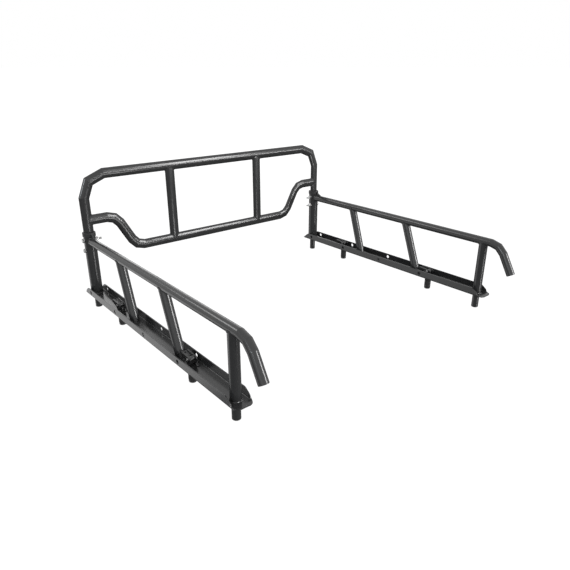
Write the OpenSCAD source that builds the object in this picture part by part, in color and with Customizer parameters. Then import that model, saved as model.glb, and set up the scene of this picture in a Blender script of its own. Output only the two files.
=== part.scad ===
// Headache rack for a utility cargo bed: a bolted hoop across the cab end and two low side frames.
// Origin: middle of the whole part, level with the bottoms of the locating pegs.
// +X across the vehicle, +Y forward to the cab, +Z up.

/* [Overall] */
// Distance between the centre lines of the two side frames
rail_spacing = 1320; // [1100:1:1600]
// Distance from the front post to the rear post of a side frame
post_spacing = 1100; // [1000:1:1400]
// Height of the hoop's top bar above the peg bottoms
hoop_z = 594; // [560:1:760]
// Height of the side rails above the peg bottoms
rail_z = 312; // [290:1:380]

/* [Hoop] */
// Width of the oval hoop tube, in the plane of the hoop
oval_w = 45; // [36:0.5:46]
// Depth of the oval hoop tube, from front to back
oval_d = 22; // [18:0.5:30]
// Wall of the hoop tubes
oval_wall = 2; // [1.5:0.1:3]
// Bend radius of the hoop's top corners
hoop_bend_r = 96; // [70:1:120]
// Depth of the legs inside the posts, below the top of the socket caps
leg_reach = 111; // [105:1:150]
// Width of the oval upright tubes
upright_w = 47; // [36:0.5:50]
// Distance of each upright from the middle
upright_x = 250; // [180:1:320]
// Height of the lower bar's ends above the socket caps
bar_end_up = 51; // [34:1:80]
// Height of the lower bar's middle stretch
bar_mid_z = 247; // [225:1:300]
// Length of the lower bar's level ends, from the leg's centre line to the corner
bar_end_run = 127.08; // [90:0.01:180]
// Slope of the lower bar between its levels, in degrees
bar_slope = 61; // [50:1:70]
// Bend radius of the lower bar
bar_bend_r = 66; // [50:1:75]

/* [Side frames] */
// Clearance of the hoop's oval legs in the posts, at each side
leg_clear = 0.9; // [0.9:0.1:4]
// Wall of the front posts
post_wall = 2; // [1.8:0.1:2]
// Diameter of the top rails
rail_d = 35; // [30:0.5:37]
// Diameter of the braces and the rear posts
brace_d = 38; // [30:0.5:42]
// Wall of the rails, braces and rear posts
tube_wall = 2.5; // [2:0.1:4]
// Distance of the front brace's top behind the front post
brace1_top = 314; // [250:1:380]
// Distance of the front brace's foot behind the front post
brace1_foot = 394; // [340:1:440]
// Distance of the rear brace's top behind the front post
brace2_top = 671; // [600:1:720]
// Distance of the rear brace's foot behind the front post
brace2_foot = 764; // [700:1:764]
// Distance of the tail's corner behind the rear post
tail_corner = 76; // [65:1:120]
// Angle of the tail below the rail, in degrees
tail_angle = 60; // [40:1:70]
// Drop of the tail's end below the rail
tail_drop = 117; // [90:1:150]
// Bend radius of the tail
tail_bend_r = 70; // [50:1:80]
// Depth of the end plug inside the tail
plug_depth = 18; // [10:1:30]
// Thickness of the gusset plate
gusset_t = 5; // [3:0.5:8]
// Distance of the gusset's rear tip behind the front post
gusset_len = 60; // [45:1:90]

/* [Base channels] */
// Width of the base channel
channel_w = 78; // [70:1:100]
// Height of the base channel
channel_h = 34; // [30:1:50]
// Thickness of the channel's sheet
channel_t = 4; // [3:0.5:5]
// Inside radius of the channel's folds
fold_r = 3; // [1:0.5:6]
// Length of the channel past the front and rear posts
channel_over = 51; // [30:1:60]
// Length of the slope at the ends of the flanges
flange_slope = 36; // [20:1:60]
// Length of the floor's tongue past the flanges
tongue = 19; // [10:1:25]
// Corner radius of the channel's floor
floor_corner_r = 24; // [6:1:30]
// Diameter of the tie-down holes
tie_d = 16; // [10:0.5:18]
// Height of the tie-down holes above the channel's underside
tie_z = 18.6; // [15:0.1:24]
// Distance of the first tie-down hole behind the front post
tie_first = 32; // [26:1:60]
// Spacing of the tie-down holes
tie_pitch = 259; // [200:1:265]

/* [Pegs and anchors] */
// Diameter of the locating pegs
peg_d = 30; // [20:0.5:36]
// Length of the locating pegs below the channel
peg_len = 66; // [50:1:90]
// Rounding of the pegs' bottom edge
peg_round = 3; // [1:0.5:5]
// Distance of the front anchor behind the front post
anchor1 = 261; // [200:1:300]
// Distance from the rear brace's foot to the tip of the rear anchor's lever
anchor2_gap = 19; // [15:1:60]
// Diameter of the anchors' rubber sleeves
sleeve_d = 30; // [24:0.5:36]
// Height of the anchors' bottoms above the peg bottoms
anchor_up = 7; // [7:0.5:12]
// Diameter of the draw rods
rod_d = 10; // [8:0.5:12]
// Travel of the draw rod while the lever opens
rod_travel = 6; // [3:0.5:6]
// Diameter of the lever's cross pin
pin_d = 8; // [6:0.5:9]
// Gap between the lever's cheeks and the heads of the cross pin
pin_end_gap = 1; // [0.5:0.1:4]
// Height of the cross pin above the seat plate, with the lever closed
pin_up = 22.7; // [20:0.1:26]
// Outside width of the lever
lever_w = 28; // [26:0.5:30]
// Thickness of the lever's steel
lever_t = 3.5; // [2.5:0.5:4]
// Length of the lever from the pin to its tip
lever_len = 54; // [48:0.5:54]
// Rise of the closed lever towards its tip, in degrees
lever_rise = 8; // [0:1:15]

/* [Bolts] */
// Diameter of the socket bolts
bolt_d = 10; // [8:1:10]
// Length of the socket bolts' thread past the nuts
bolt_end = 15.2; // [5:0.1:30]
// Distance of the upper bolt below the top of the socket
bolt1_down = 35.5; // [33:0.5:38]
// Distance of the lower bolt below the top of the socket
bolt2_down = 80.5; // [60:0.5:84]

/* [Fits] */
// Gap at coped tube joints, filled by the weld
weld_gap = 0.2; // [0.1:0.05:0.5]
// Radial clearance of the bolts and draw rods in their holes
hole_clear = 0.5; // [0.3:0.05:1]
// Clearance of the hoop's legs and the caps in and on the posts
cap_clear = 0.3; // [0.2:0.05:0.4]
// Radial clearance of the levers on their pins
pin_clear = 0.05; // [0.02:0.01:0.1]
// Air between an anchor's moving and standing faces
face_gap = 0.3; // [0.2:0.05:0.5]

/* [Hidden] */
$fn = 64;
SECTION_STEPS = 32;          // sides of a swept tube's section
SIDES = ["left", "right"];
ANCHOR_ENDS = ["front", "rear"];
FRAME_NODES = ["hoop_tube", "lower_bar", "left_upright", "right_upright"];
SIDE_NODES = [
    "base_channel", "front_post", "socket_cap", "top_rail", "rail_gusset", "front_brace", "rear_brace",
    "rear_post", "rail_end_plug", "front_peg", "rear_peg", "socket_bolts", "socket_washers", "socket_nuts"
];
ANCHOR_NODES = ["seat_plate", "draw_rod", "expander_cap", "cross_pin", "cam_lever", "rubber_sleeve"];

COAT = [0.20, 0.20, 0.21];
STEEL = [0.72, 0.72, 0.73];
RUBBER = [0.08, 0.08, 0.08];

floor_under = peg_len;                       // underside of the channel
floor_top = floor_under + channel_t;
post_d = oval_w + 2 * leg_clear + 2 * post_wall;
post_r = post_d / 2;
rail_r = rail_d / 2;
cap_wall = 2.3;
cap_skirt = 14;                              // overlap of the socket cap down the post
cap_top_t = 4;
socket_top = rail_z + 39;                    // top of the socket cap
post_top = socket_top - cap_top_t;
cap_r = post_r + cap_clear + cap_wall;
rail_x = rail_spacing / 2;
bar_end_z = socket_top + bar_end_up;
bar_run = (bar_end_z - bar_mid_z) / tan(bar_slope);
bar_mid_half = rail_x - bar_end_run - bar_run;   // half the lower bar's middle stretch, to its corners
plug_rim_t = 2;
plug_rim_r = rail_r - 0.5;
tail_y = -(post_spacing + tail_corner + tail_drop / tan(tail_angle));
tail_back = tail_y - plug_rim_t * cos(tail_angle) - plug_rim_r * sin(tail_angle);
front_y = -(channel_over + tail_back) / 2;   // the front posts, from the middle of the whole part

washer_t = 2;
bolt_head_h = 6.4;
bolt_head_w = 17 * bolt_d / 10;              // across the flats
washer_r = bolt_d;
nut_h = bolt_d;
bolt_len = post_d + 2 * washer_t + nut_h + bolt_end;

seat_t = 3;
seat_w = 40;
seat_len = 42;
seat_top = floor_top + seat_t;
pin_z = seat_top + pin_up;
anchor2 = brace2_foot + anchor2_gap + lever_len;
cheek_out = lever_w / 2;
cheek_in = cheek_out - lever_t;
rod_eye_r = 9;
rod_eye_w = 2 * (cheek_in - face_gap);
expander_h = 10;
expander_top = anchor_up + expander_h;
sleeve_bore = rod_d + 1;
pin_head_t = 2;
pin_len = lever_w + 2 * (pin_end_gap + pin_head_t);
pin_head_r = pin_d / 2 + 1.5;
closed_drop = pin_up - face_gap;             // from the pin down to the cam's foot

// --- shapes shared by several pieces ---

function unit(v) = v / norm(v);
function left_of(d) = [-d[1], d[0]];

// Points of an ellipse w by d, the first one at the end of its width
function ellipse_points(w, d) =
    [for (i = [0:SECTION_STEPS - 1]) let (a = 360 * i / SECTION_STEPS) [w / 2 * cos(a), d / 2 * sin(a)]];

// Two straight cuts across a bend: where it starts, its middle and where it ends
function bend_points(before, corner, after, r) =
    let (
        d1 = unit(corner - before),
        d2 = unit(after - corner),
        half = acos(d1 * d2) / 2,
        inward = unit(d2 - d1)
    )
    [corner - d1 * r * tan(half), corner + inward * r * (1 / cos(half) - 1), corner + d2 * r * tan(half)];

function bent_path(corners, r) = concat(
    [corners[0]],
    [for (i = [1:len(corners) - 2]) each bend_points(corners[i - 1], corners[i], corners[i + 1], r)],
    [corners[len(corners) - 1]]
);

// Direction across a path at one of its points, stretched so that a mitred corner keeps the tube's width
function across(path, i) =
    let (
        last = len(path) - 1,
        before = unit(path[max(i, 1)] - path[max(i, 1) - 1]),
        after = unit(path[min(i + 1, last)] - path[min(i, last - 1)]),
        mean = unit(left_of(before) + left_of(after))
    )
    mean / (mean * left_of(after));

function stretched(path, by) =
    let (last = len(path) - 1)
    concat(
        [path[0] - unit(path[1] - path[0]) * by],
        [for (i = [1:last - 1]) path[i]],
        [path[last] + unit(path[last] - path[last - 1]) * by]
    );

// Solid bar along a flat path of [x, z] points
module swept_bar(path, w, d) {
    section = ellipse_points(w, d);
    n = len(section);
    rings = len(path);
    points = [
        for (i = [0:rings - 1], s = section)
            let (o = across(path, i) * s[0]) [path[i][0] + o[0], s[1], path[i][1] + o[1]]
    ];
    sides = [
        for (i = [0:rings - 2], j = [0:n - 1])
            let (k = (j + 1) % n) [i * n + j, i * n + k, (i + 1) * n + k, (i + 1) * n + j]
    ];
    first = [for (j = [n - 1:-1:0]) j];
    last = [for (j = [0:n - 1]) (rings - 1) * n + j];
    polyhedron(points, concat([first, last], sides));
}

module swept_tube(path, w, d, wall) {
    difference() {
        swept_bar(path, w, d);
        swept_bar(stretched(path, 1), w - 2 * wall, d - 2 * wall);
    }
}

// Straight oval bar along Z, its width along X
module oval_bar(length, w, d) {
    linear_extrude(height = length) polygon(ellipse_points(w, d));
}

module tube(length, d, wall) {
    difference() {
        cylinder(h = length, d = d);
        translate([0, 0, -1]) cylinder(h = length + 2, d = d - 2 * wall);
    }
}

module hexagon_prism(h, across_flats) {
    cylinder(h = h, d = across_flats / cos(30), $fn = 6);
}

module along_x() {
    rotate([0, 90, 0]) children();
}

// Puts a piece drawn for the right side frame, from its front post's axis, in its place on either side
module on_side(side) {
    mirror([side == "left" ? 1 : 0, 0, 0]) translate([rail_x, front_y, 0]) children();
}

module at_anchor(end) {
    translate([0, end == "front" ? -anchor1 : -anchor2, 0]) children();
}

// --- hoop ---

hoop_path = bent_path([
    [-rail_x, socket_top - leg_reach], [-rail_x, hoop_z], [rail_x, hoop_z], [rail_x, socket_top - leg_reach]
], hoop_bend_r);
bar_path = bent_path([
    [-rail_x, bar_end_z], [-bar_mid_half - bar_run, bar_end_z], [-bar_mid_half, bar_mid_z],
    [bar_mid_half, bar_mid_z], [bar_mid_half + bar_run, bar_end_z], [rail_x, bar_end_z]
], bar_bend_r);

module socket_bolt_holes() {
    for (down = [bolt1_down, bolt2_down])
        translate([-rail_x - post_d, 0, socket_top - down])
            along_x() cylinder(h = rail_spacing + 2 * post_d, d = bolt_d + 2 * hole_clear);
}

module hoop_tube() {
    color(COAT) translate([0, front_y, 0]) difference() {
        swept_tube(hoop_path, oval_w, oval_d, oval_wall);
        socket_bolt_holes();
    }
}

module lower_bar() {
    color(COAT) translate([0, front_y, 0]) difference() {
        swept_tube(bar_path, oval_w, oval_d, oval_wall);
        for (x = [-rail_x, rail_x])
            translate([x, 0, bar_end_z - oval_w])
                oval_bar(2 * oval_w, oval_w + 2 * weld_gap, oval_d + 2 * weld_gap);
    }
}

// Oval upright between the two bars, its ends coped round them
module upright(x) {
    color(COAT) translate([x, front_y, 0]) difference() {
        translate([0, 0, bar_mid_z]) oval_bar(hoop_z - bar_mid_z, upright_w, oval_d);
        translate([0, 0, bar_mid_z - 1])
            oval_bar(hoop_z - bar_mid_z + 2, upright_w - 2 * oval_wall, oval_d - 2 * oval_wall);
        for (z = [bar_mid_z, hoop_z])
            translate([-upright_w, 0, z])
                along_x() oval_bar(2 * upright_w, oval_w + 2 * weld_gap, oval_d + 2 * weld_gap);
    }
}

// --- side frame ---

// Folded section of the channel, from its underside up
module channel_section() {
    outer_r = fold_r + channel_t;
    inner_w = channel_w - 2 * channel_t;
    difference() {
        union() {
            translate([-channel_w / 2, outer_r]) square([channel_w, channel_h - outer_r]);
            translate([-channel_w / 2 + outer_r, 0]) square([channel_w - 2 * outer_r, channel_h]);
            for (x = [-1, 1]) translate([x * (channel_w / 2 - outer_r), outer_r]) circle(outer_r);
        }
        translate([-inner_w / 2, outer_r]) square([inner_w, channel_h]);
        translate([-inner_w / 2 + fold_r, channel_t]) square([inner_w - 2 * fold_r, channel_h]);
        for (x = [-1, 1]) translate([x * (inner_w / 2 - fold_r), outer_r]) circle(fold_r);
    }
}

// Side view of the channel: its flanges slope down to a flat tongue at both ends
module channel_outline() {
    front = channel_over;
    rear = -post_spacing - channel_over;
    drop = channel_h - channel_t - fold_r;
    steps = 12;
    fullness = 1.15; // 2 is a quarter of an ellipse, and 1 is a straight slope
    corner = [for (i = [0:steps]) [pow(cos(90 * i / steps), 2 / fullness), pow(sin(90 * i / steps), 2 / fullness)]];
    polygon(concat(
        [[rear, 0], [front, 0], [front, channel_h - drop]],
        [for (c = corner) [front - tongue - flange_slope * (1 - c[0]), channel_h - drop * (1 - c[1])]],
        [for (i = [steps:-1:0]) let (c = corner[i])
            [rear + tongue + flange_slope * (1 - c[0]), channel_h - drop * (1 - c[1])]],
        [[rear, channel_h - drop]]
    ));
}

// Plan of the channel's floor, with rounded corners
module channel_plan() {
    front = channel_over - floor_corner_r;
    rear = -post_spacing - channel_over + floor_corner_r;
    half = channel_w / 2 - floor_corner_r;
    translate([-channel_w / 2, rear]) square([channel_w, front - rear]);
    translate([-half, rear - floor_corner_r]) square([2 * half, front - rear + 2 * floor_corner_r]);
    for (x = [-half, half], y = [front, rear]) translate([x, y]) circle(floor_corner_r);
}

module base_channel() {
    length = post_spacing + 2 * channel_over;
    color(COAT) translate([0, 0, floor_under]) difference() {
        intersection() {
            translate([0, channel_over, 0]) rotate([90, 0, 0]) linear_extrude(height = length) channel_section();
            translate([-channel_w, 0, 0]) rotate([90, 0, 90])
                linear_extrude(height = 2 * channel_w) channel_outline();
            translate([0, 0, -1]) linear_extrude(height = channel_h + 2) channel_plan();
        }
        for (i = [0:3])
            translate([-channel_w, -tie_first - i * tie_pitch, tie_z])
                along_x() cylinder(h = 2 * channel_w, d = tie_d);
        for (end = ANCHOR_ENDS)
            at_anchor(end) translate([0, 0, -1]) cylinder(h = channel_t + 2, d = rod_d + 2 * hole_clear);
    }
}

module front_post() {
    color(COAT) difference() {
        translate([0, 0, floor_top]) tube(post_top - floor_top, post_d, post_wall);
        translate([-rail_x, 0, 0]) socket_bolt_holes();
    }
}

// Moulded cap over the post's top: it centres the oval leg in the round socket
module socket_cap() {
    spigot_r = post_r - post_wall - cap_clear;
    slot_w = oval_w + 2 * cap_clear;
    slot_d = oval_d + 2 * cap_clear;
    color(RUBBER) difference() {
        union() {
            translate([0, 0, post_top - cap_skirt]) difference() {
                cylinder(h = cap_skirt + cap_top_t, r = cap_r);
                translate([0, 0, -1]) cylinder(h = cap_skirt + 1, r = post_r + cap_clear);
            }
            translate([0, 0, post_top - cap_skirt]) difference() {
                cylinder(h = cap_skirt + 1, r = spigot_r);
                translate([-post_r, -slot_d / 2, -1]) cube([post_d, slot_d, cap_skirt + 1]);
            }
        }
        translate([0, 0, post_top - cap_skirt - 1]) oval_bar(cap_skirt + cap_top_t + 2, slot_w, slot_d);
    }
}

module top_rail() {
    path = bent_path([
        [0, rail_z], [-post_spacing - tail_corner, rail_z], [tail_y, rail_z - tail_drop]
    ], tail_bend_r);
    color(COAT) difference() {
        rotate([0, 0, 90]) swept_tube(path, rail_d, rail_d, tube_wall);
        translate([0, 0, rail_z - rail_d]) cylinder(h = 2 * rail_d, r = post_r + weld_gap);
    }
}

// Straight stretch of the rail with a weld gap round it, cut from what is coped to it
module rail_cut(gap = weld_gap) {
    translate([0, 0, rail_z]) rotate([90, 0, 0]) cylinder(h = post_spacing + tail_corner, r = rail_r + gap);
}

// Plate in the corner between rail and post, notched to pass the socket cap's skirt
module rail_gusset() {
    top = post_top - 2;
    below_cap = post_top - cap_skirt - 1;
    clear_of_cap = cap_r + 1;
    tip = rail_z + rail_r + 1;
    color(COAT) difference() {
        translate([-gusset_t / 2, 0, 0]) rotate([90, 0, 90]) linear_extrude(height = gusset_t) polygon([
            [0, rail_z], [-gusset_len, rail_z], [-gusset_len, tip], [-clear_of_cap - 4, top],
            [-clear_of_cap, top], [-clear_of_cap, below_cap], [0, below_cap]
        ]);
        rail_cut();
        translate([0, 0, rail_z - 1]) cylinder(h = rail_d * 2, r = post_r + weld_gap);
    }
}

// Tube from a foot on the channel's floor to the underside of the rail, both ends coped
module leaning_tube(top_behind, foot_behind) {
    rise = rail_z - floor_top;
    lean = atan((foot_behind - top_behind) / rise);
    ears_below = rail_z - 4;
    length = rise / cos(lean);
    spare = brace_d;
    color(COAT) difference() {
        translate([0, -foot_behind, floor_top]) rotate([-lean, 0, 0])
            translate([0, 0, -spare]) tube(length + 2 * spare, brace_d, tube_wall);
        translate([-brace_d, -post_spacing - brace_d, floor_top - 2 * spare])
            cube([2 * brace_d, post_spacing + 2 * brace_d, 2 * spare]);
        translate([-brace_d, -post_spacing - brace_d, ears_below])
            cube([2 * brace_d, post_spacing + 2 * brace_d, 3 * spare]);
        rail_cut();
    }
}

module rail_end_plug() {
    bore_r = rail_r - tube_wall;
    color(RUBBER) translate([0, tail_y, rail_z - tail_drop]) rotate([-90 + tail_angle, 0, 0]) {
        translate([0, 0, -plug_rim_t / 2]) cylinder(h = plug_depth + plug_rim_t / 2, r = bore_r - weld_gap / 2);
        translate([0, 0, -plug_rim_t]) cylinder(h = plug_rim_t, r = plug_rim_r);
    }
}

// Round peg under the channel, its bottom edge rounded
module peg(behind) {
    r = peg_d / 2;
    color(COAT) translate([0, -behind, 0]) union() {
        translate([0, 0, peg_round]) cylinder(h = peg_len - peg_round, r = r);
        cylinder(h = peg_round, r = r - peg_round);
        rotate_extrude() translate([r - peg_round, peg_round]) intersection() {
            circle(peg_round);
            translate([0, -peg_round]) square(peg_round);
        }
    }
}

// --- socket fasteners, heads outside and nuts inside ---

module at_bolts() {
    for (down = [bolt1_down, bolt2_down]) translate([0, 0, socket_top - down]) children();
}

module socket_bolts() {
    under_head = post_r + washer_t;
    color(STEEL) at_bolts() {
        translate([under_head, 0, 0]) along_x() hexagon_prism(bolt_head_h, bolt_head_w);
        translate([under_head - bolt_len, 0, 0]) along_x() cylinder(h = bolt_len + 1, d = bolt_d);
    }
}

module socket_washers() {
    color(STEEL) at_bolts() for (x = [-post_r - washer_t, post_r])
        translate([x, 0, 0]) along_x() difference() {
            cylinder(h = washer_t, r = washer_r);
            translate([0, 0, -1]) cylinder(h = washer_t + 2, r = bolt_d / 2 + 0.3);
        }
}

module socket_nuts() {
    color(STEEL) at_bolts()
        translate([-post_r - washer_t - nut_h, 0, 0]) along_x() difference() {
            hexagon_prism(nut_h, bolt_head_w);
            translate([0, 0, -1]) cylinder(h = nut_h + 2, r = bolt_d / 2 + pin_clear);
        }
}

// --- anchors: a cam lever draws the rod up, and the rubber sleeve swells in its hole ---

module seat_plate() {
    color(COAT) translate([0, 0, floor_top]) difference() {
        translate([-seat_w / 2, -seat_len / 2, 0]) cube([seat_w, seat_len, seat_t]);
        translate([0, 0, -1]) cylinder(h = seat_t + 2, d = rod_d + 2 * hole_clear);
    }
}

module draw_rod() {
    color(STEEL) difference() {
        union() {
            translate([0, 0, expander_top]) cylinder(h = pin_z - expander_top, d = rod_d);
            translate([-rod_eye_w / 2, 0, pin_z]) along_x() cylinder(h = rod_eye_w, r = rod_eye_r);
        }
        translate([-rod_eye_w, 0, pin_z]) along_x() cylinder(h = 2 * rod_eye_w, r = pin_d / 2 + pin_clear / 2);
    }
}

module expander_cap() {
    edge = 2;
    color(COAT) translate([0, 0, anchor_up]) {
        cylinder(h = edge, r1 = sleeve_d / 2 - edge - 0.5, r2 = sleeve_d / 2 - 0.5, $fn = 96);
        translate([0, 0, edge]) cylinder(h = expander_h - edge, r = sleeve_d / 2 - 0.5);
    }
}

module cross_pin() {
    color(STEEL) translate([0, 0, pin_z]) along_x() {
        translate([0, 0, -pin_len / 2]) cylinder(h = pin_len, d = pin_d);
        for (x = [-pin_len / 2, pin_len / 2 - pin_head_t])
            translate([0, 0, x]) cylinder(h = pin_head_t, r = pin_head_r);
    }
}

// Edge of the cam: its distance from the pin to the seat falls evenly while the lever opens a quarter turn
function cam_point(open) =
    let (
        drop = closed_drop - rod_travel * open / 90,
        slope = -rod_travel / (PI / 2)
    )
    [-drop * sin(open) - slope * cos(open), -drop * cos(open) + slope * sin(open)];

// Side view of a cheek, from the pin: cam foot below and behind, handle forward
module cheek_outline() {
    back_r = 10;
    handle_low = -5;
    handle_high = 8;
    foot_front = 9;
    nose = [lever_len * cos(lever_rise), lever_len * sin(lever_rise)];
    polygon(concat(
        [for (open = [0:7.5:90]) cam_point(open)],
        [[-closed_drop + rod_travel, 4], [-back_r, back_r - 1], [0, handle_high + 2]],
        [nose + [-6, 5], nose + [0, 0], nose + [-3, -7], [foot_front + 6, handle_low - 4],
         [foot_front, -closed_drop + 2], [foot_front - 2, -closed_drop]]
    ));
}

module cam_lever() {
    web_from = 17;
    web_to = lever_len - 4;
    web_z = 1;
    hook_hole_r = 4;
    color(COAT) translate([0, 0, pin_z]) difference() {
        union() {
            for (x = [-cheek_out, cheek_in])
                translate([x, 0, 0]) rotate([90, 0, 90]) linear_extrude(height = lever_t) cheek_outline();
            rotate([lever_rise, 0, 0]) translate([-cheek_in - 1, web_from, web_z - lever_t])
                cube([2 * cheek_in + 2, web_to - web_from, lever_t]);
        }
        translate([-lever_w, 0, 0]) along_x() cylinder(h = 2 * lever_w, r = pin_d / 2 + pin_clear);
        rotate([lever_rise, 0, 0]) translate([0, web_to - 2 * hook_hole_r, -lever_t * 2])
            cylinder(h = lever_t * 4, r = hook_hole_r);
    }
}

module rubber_sleeve() {
    color(RUBBER) translate([0, 0, expander_top + face_gap]) difference() {
        cylinder(h = floor_under - expander_top - 2 * face_gap, d = sleeve_d);
        translate([0, 0, -1]) cylinder(h = floor_under, d = sleeve_bore);
    }
}

// --- assembly ---

module side_piece(part) {
    if (part == "base_channel") base_channel();
    if (part == "front_post") front_post();
    if (part == "socket_cap") socket_cap();
    if (part == "top_rail") top_rail();
    if (part == "rail_gusset") rail_gusset();
    if (part == "front_brace") leaning_tube(brace1_top, brace1_foot);
    if (part == "rear_brace") leaning_tube(brace2_top, brace2_foot);
    if (part == "rear_post") leaning_tube(post_spacing, post_spacing);
    if (part == "rail_end_plug") rail_end_plug();
    if (part == "front_peg") peg(0);
    if (part == "rear_peg") peg(post_spacing);
    if (part == "socket_bolts") socket_bolts();
    if (part == "socket_washers") socket_washers();
    if (part == "socket_nuts") socket_nuts();
}

module anchor_piece(part) {
    if (part == "seat_plate") seat_plate();
    if (part == "draw_rod") draw_rod();
    if (part == "expander_cap") expander_cap();
    if (part == "cross_pin") cross_pin();
    if (part == "cam_lever") cam_lever();
    if (part == "rubber_sleeve") rubber_sleeve();
}

hoop_tube();
lower_bar();
upright(-upright_x);  // left_upright
upright(upright_x);  // right_upright
for (side = SIDES, part = SIDE_NODES)
    on_side(side) side_piece(part);
for (side = SIDES, end = ANCHOR_ENDS, part = ANCHOR_NODES)
    on_side(side) at_anchor(end) anchor_piece(part);
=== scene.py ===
import math

import bmesh
import bpy
from mathutils import Matrix, Vector, noise


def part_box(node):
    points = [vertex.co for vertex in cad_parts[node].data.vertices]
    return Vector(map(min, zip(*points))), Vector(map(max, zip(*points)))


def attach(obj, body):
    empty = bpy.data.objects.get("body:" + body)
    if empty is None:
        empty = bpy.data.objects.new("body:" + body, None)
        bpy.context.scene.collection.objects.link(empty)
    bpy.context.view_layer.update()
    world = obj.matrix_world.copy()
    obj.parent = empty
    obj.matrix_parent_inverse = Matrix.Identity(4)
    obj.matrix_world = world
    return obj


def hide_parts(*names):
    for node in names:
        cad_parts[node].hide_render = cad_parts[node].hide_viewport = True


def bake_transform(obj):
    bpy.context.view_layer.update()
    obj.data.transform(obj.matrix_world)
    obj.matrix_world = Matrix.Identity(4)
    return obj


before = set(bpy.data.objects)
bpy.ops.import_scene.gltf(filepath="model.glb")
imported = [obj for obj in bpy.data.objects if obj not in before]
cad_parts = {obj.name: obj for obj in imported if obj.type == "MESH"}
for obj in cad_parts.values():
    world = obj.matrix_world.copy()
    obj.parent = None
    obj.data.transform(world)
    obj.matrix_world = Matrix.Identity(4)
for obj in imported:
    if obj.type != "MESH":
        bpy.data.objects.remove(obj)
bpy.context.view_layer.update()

# --- Hoop tube ---
# One length of oval steel tube, mitre-bent at its two top corners into a hoop, with its legs long enough
# to drop deep into the front posts. It is powder coated charcoal black, like all the welded steelwork.
oval_wide, oval_deep, oval_wall = 0.045, 0.022, 0.002
hoop_bend, kink_round = 0.096, 0.0011
post_low, post_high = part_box("right_front_post")
rail_x = (post_low.x + post_high.x) / 2
front_y = (post_low.y + post_high.y) / 2
hoop_low, hoop_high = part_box("hoop_tube")
hoop_z = hoop_high.z - oval_wide / 2
X, Y, Z = Vector((1, 0, 0)), Vector((0, 1, 0)), Vector((0, 0, 1))
SIDES = {"left": -1, "right": 1}


class Wire:
    """A socket in a finish's node tree, so that shader maths reads as plain expressions."""

    def __init__(self, finish, socket):
        self.finish, self.socket = finish, socket

    def maths(self, operation, first, second):
        return self.finish.node("ShaderNodeMath", {"operation": operation}, {0: first, 1: second})

    def __add__(self, other):
        return self.maths("ADD", self, other)

    def __radd__(self, other):
        return self.maths("ADD", other, self)

    def __sub__(self, other):
        return self.maths("SUBTRACT", self, other)

    def __rmul__(self, other):
        return self.maths("MULTIPLY", other, self)


class Finish:
    """A coating or a bare material, made of shader nodes on the object's own coordinates."""

    def __init__(self, name):
        self.material = bpy.data.materials.new(name)
        self.material.use_nodes = True
        self.tree = self.material.node_tree
        self.tree.nodes.clear()
        self.place = self.node("ShaderNodeTexCoord", out="Object")

    def node(self, kind, settings=None, sockets=None, out=0):
        made = self.tree.nodes.new(kind)
        for key, value in (settings or {}).items():
            if key == "stops":
                ramp = made.color_ramp
                while len(ramp.elements) < len(value):
                    ramp.elements.new(0.5)
                for stop, (at, shade) in zip(ramp.elements, value):
                    stop.position, stop.color = at, (*shade, 1)
            else:
                setattr(made, key, value)
        for key, value in (sockets or {}).items():
            if isinstance(value, Wire):
                self.tree.links.new(value.socket, made.inputs[key])
            else:
                made.inputs[key].default_value = value
        return Wire(self, made.outputs[out]) if made.outputs else None

    def grain(self, scale, detail=2, roughness=0.5):
        return self.node("ShaderNodeTexNoise", None, {
            "Vector": self.place, "Scale": scale, "Detail": detail, "Roughness": roughness})

    def between(self, low, high, wire):
        """Maps a value's range from low to high onto 0 to 1."""
        return self.node("ShaderNodeMapRange", None, {"Value": wire, "From Min": low, "From Max": high})

    def shades(self, dark, light, wire):
        return self.node("ShaderNodeMix", {"data_type": "RGBA"},
                         {0: wire, 6: (*dark, 1), 7: (*light, 1)}, out=2)

    def surface(self, height, relief, **sockets):
        """The finished surface: height is a value, and relief its depth in metres."""
        bump = self.node("ShaderNodeBump", None, {"Height": height, "Strength": 1.0, "Distance": relief})
        named = {key.replace("_", " "): value for key, value in sockets.items()}
        shader = self.node("ShaderNodeBsdfPrincipled", None, {**named, "Normal": bump})
        self.node("ShaderNodeOutputMaterial", None, {"Surface": shader})
        return self.material


def powder_coat():
    """Satin charcoal powder: orange peel, a fine grain, and paler on sharp edges and weld beads, partly where
    the coat thins and partly a painted highlight.
    """
    coat = Finish("charcoal_powder_coat")
    cloud = coat.grain(7, 3)
    peel = coat.grain(330, 2)
    powder = coat.grain(1500, 2, 0.6)
    # Pointiness lightens the colour on convex edges and weld beads: partly the thinner coat there, partly a
    # painted highlight.
    pale_edges_and_painted_highlight = coat.between(0.505, 0.56, coat.node("ShaderNodeNewGeometry", out="Pointiness"))
    shade = 0.45 * cloud + 0.35 * powder + 0.35 * pale_edges_and_painted_highlight - 0.1
    return coat.surface(
        0.75 * peel + 0.25 * powder, 0.000006,
        Base_Color=coat.shades((0.0135, 0.0137, 0.0142), (0.030, 0.0302, 0.031), shade),
        Roughness=0.13 + 0.07 * cloud + 0.05 * powder,
        Specular_IOR_Level=0.5)


charcoal = powder_coat()


def station(line, at, normal, wide, deep):
    """Maps a unit circle to the oval section at one point of a bent line, turned to halve its corner."""
    before = (line[max(at, 1)] - line[max(at, 1) - 1]).normalized()
    after = (line[min(at + 1, len(line) - 1)] - line[min(at, len(line) - 2)]).normalized()
    along = (before + after).normalized()
    across = normal.cross(along)
    across /= across.dot(normal.cross(after))
    columns = (across * wide / 2, normal * deep / 2, along, line[at])
    return Matrix([[column[row] for column in columns] for row in range(3)] + [[0, 0, 0, 1]])


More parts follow.
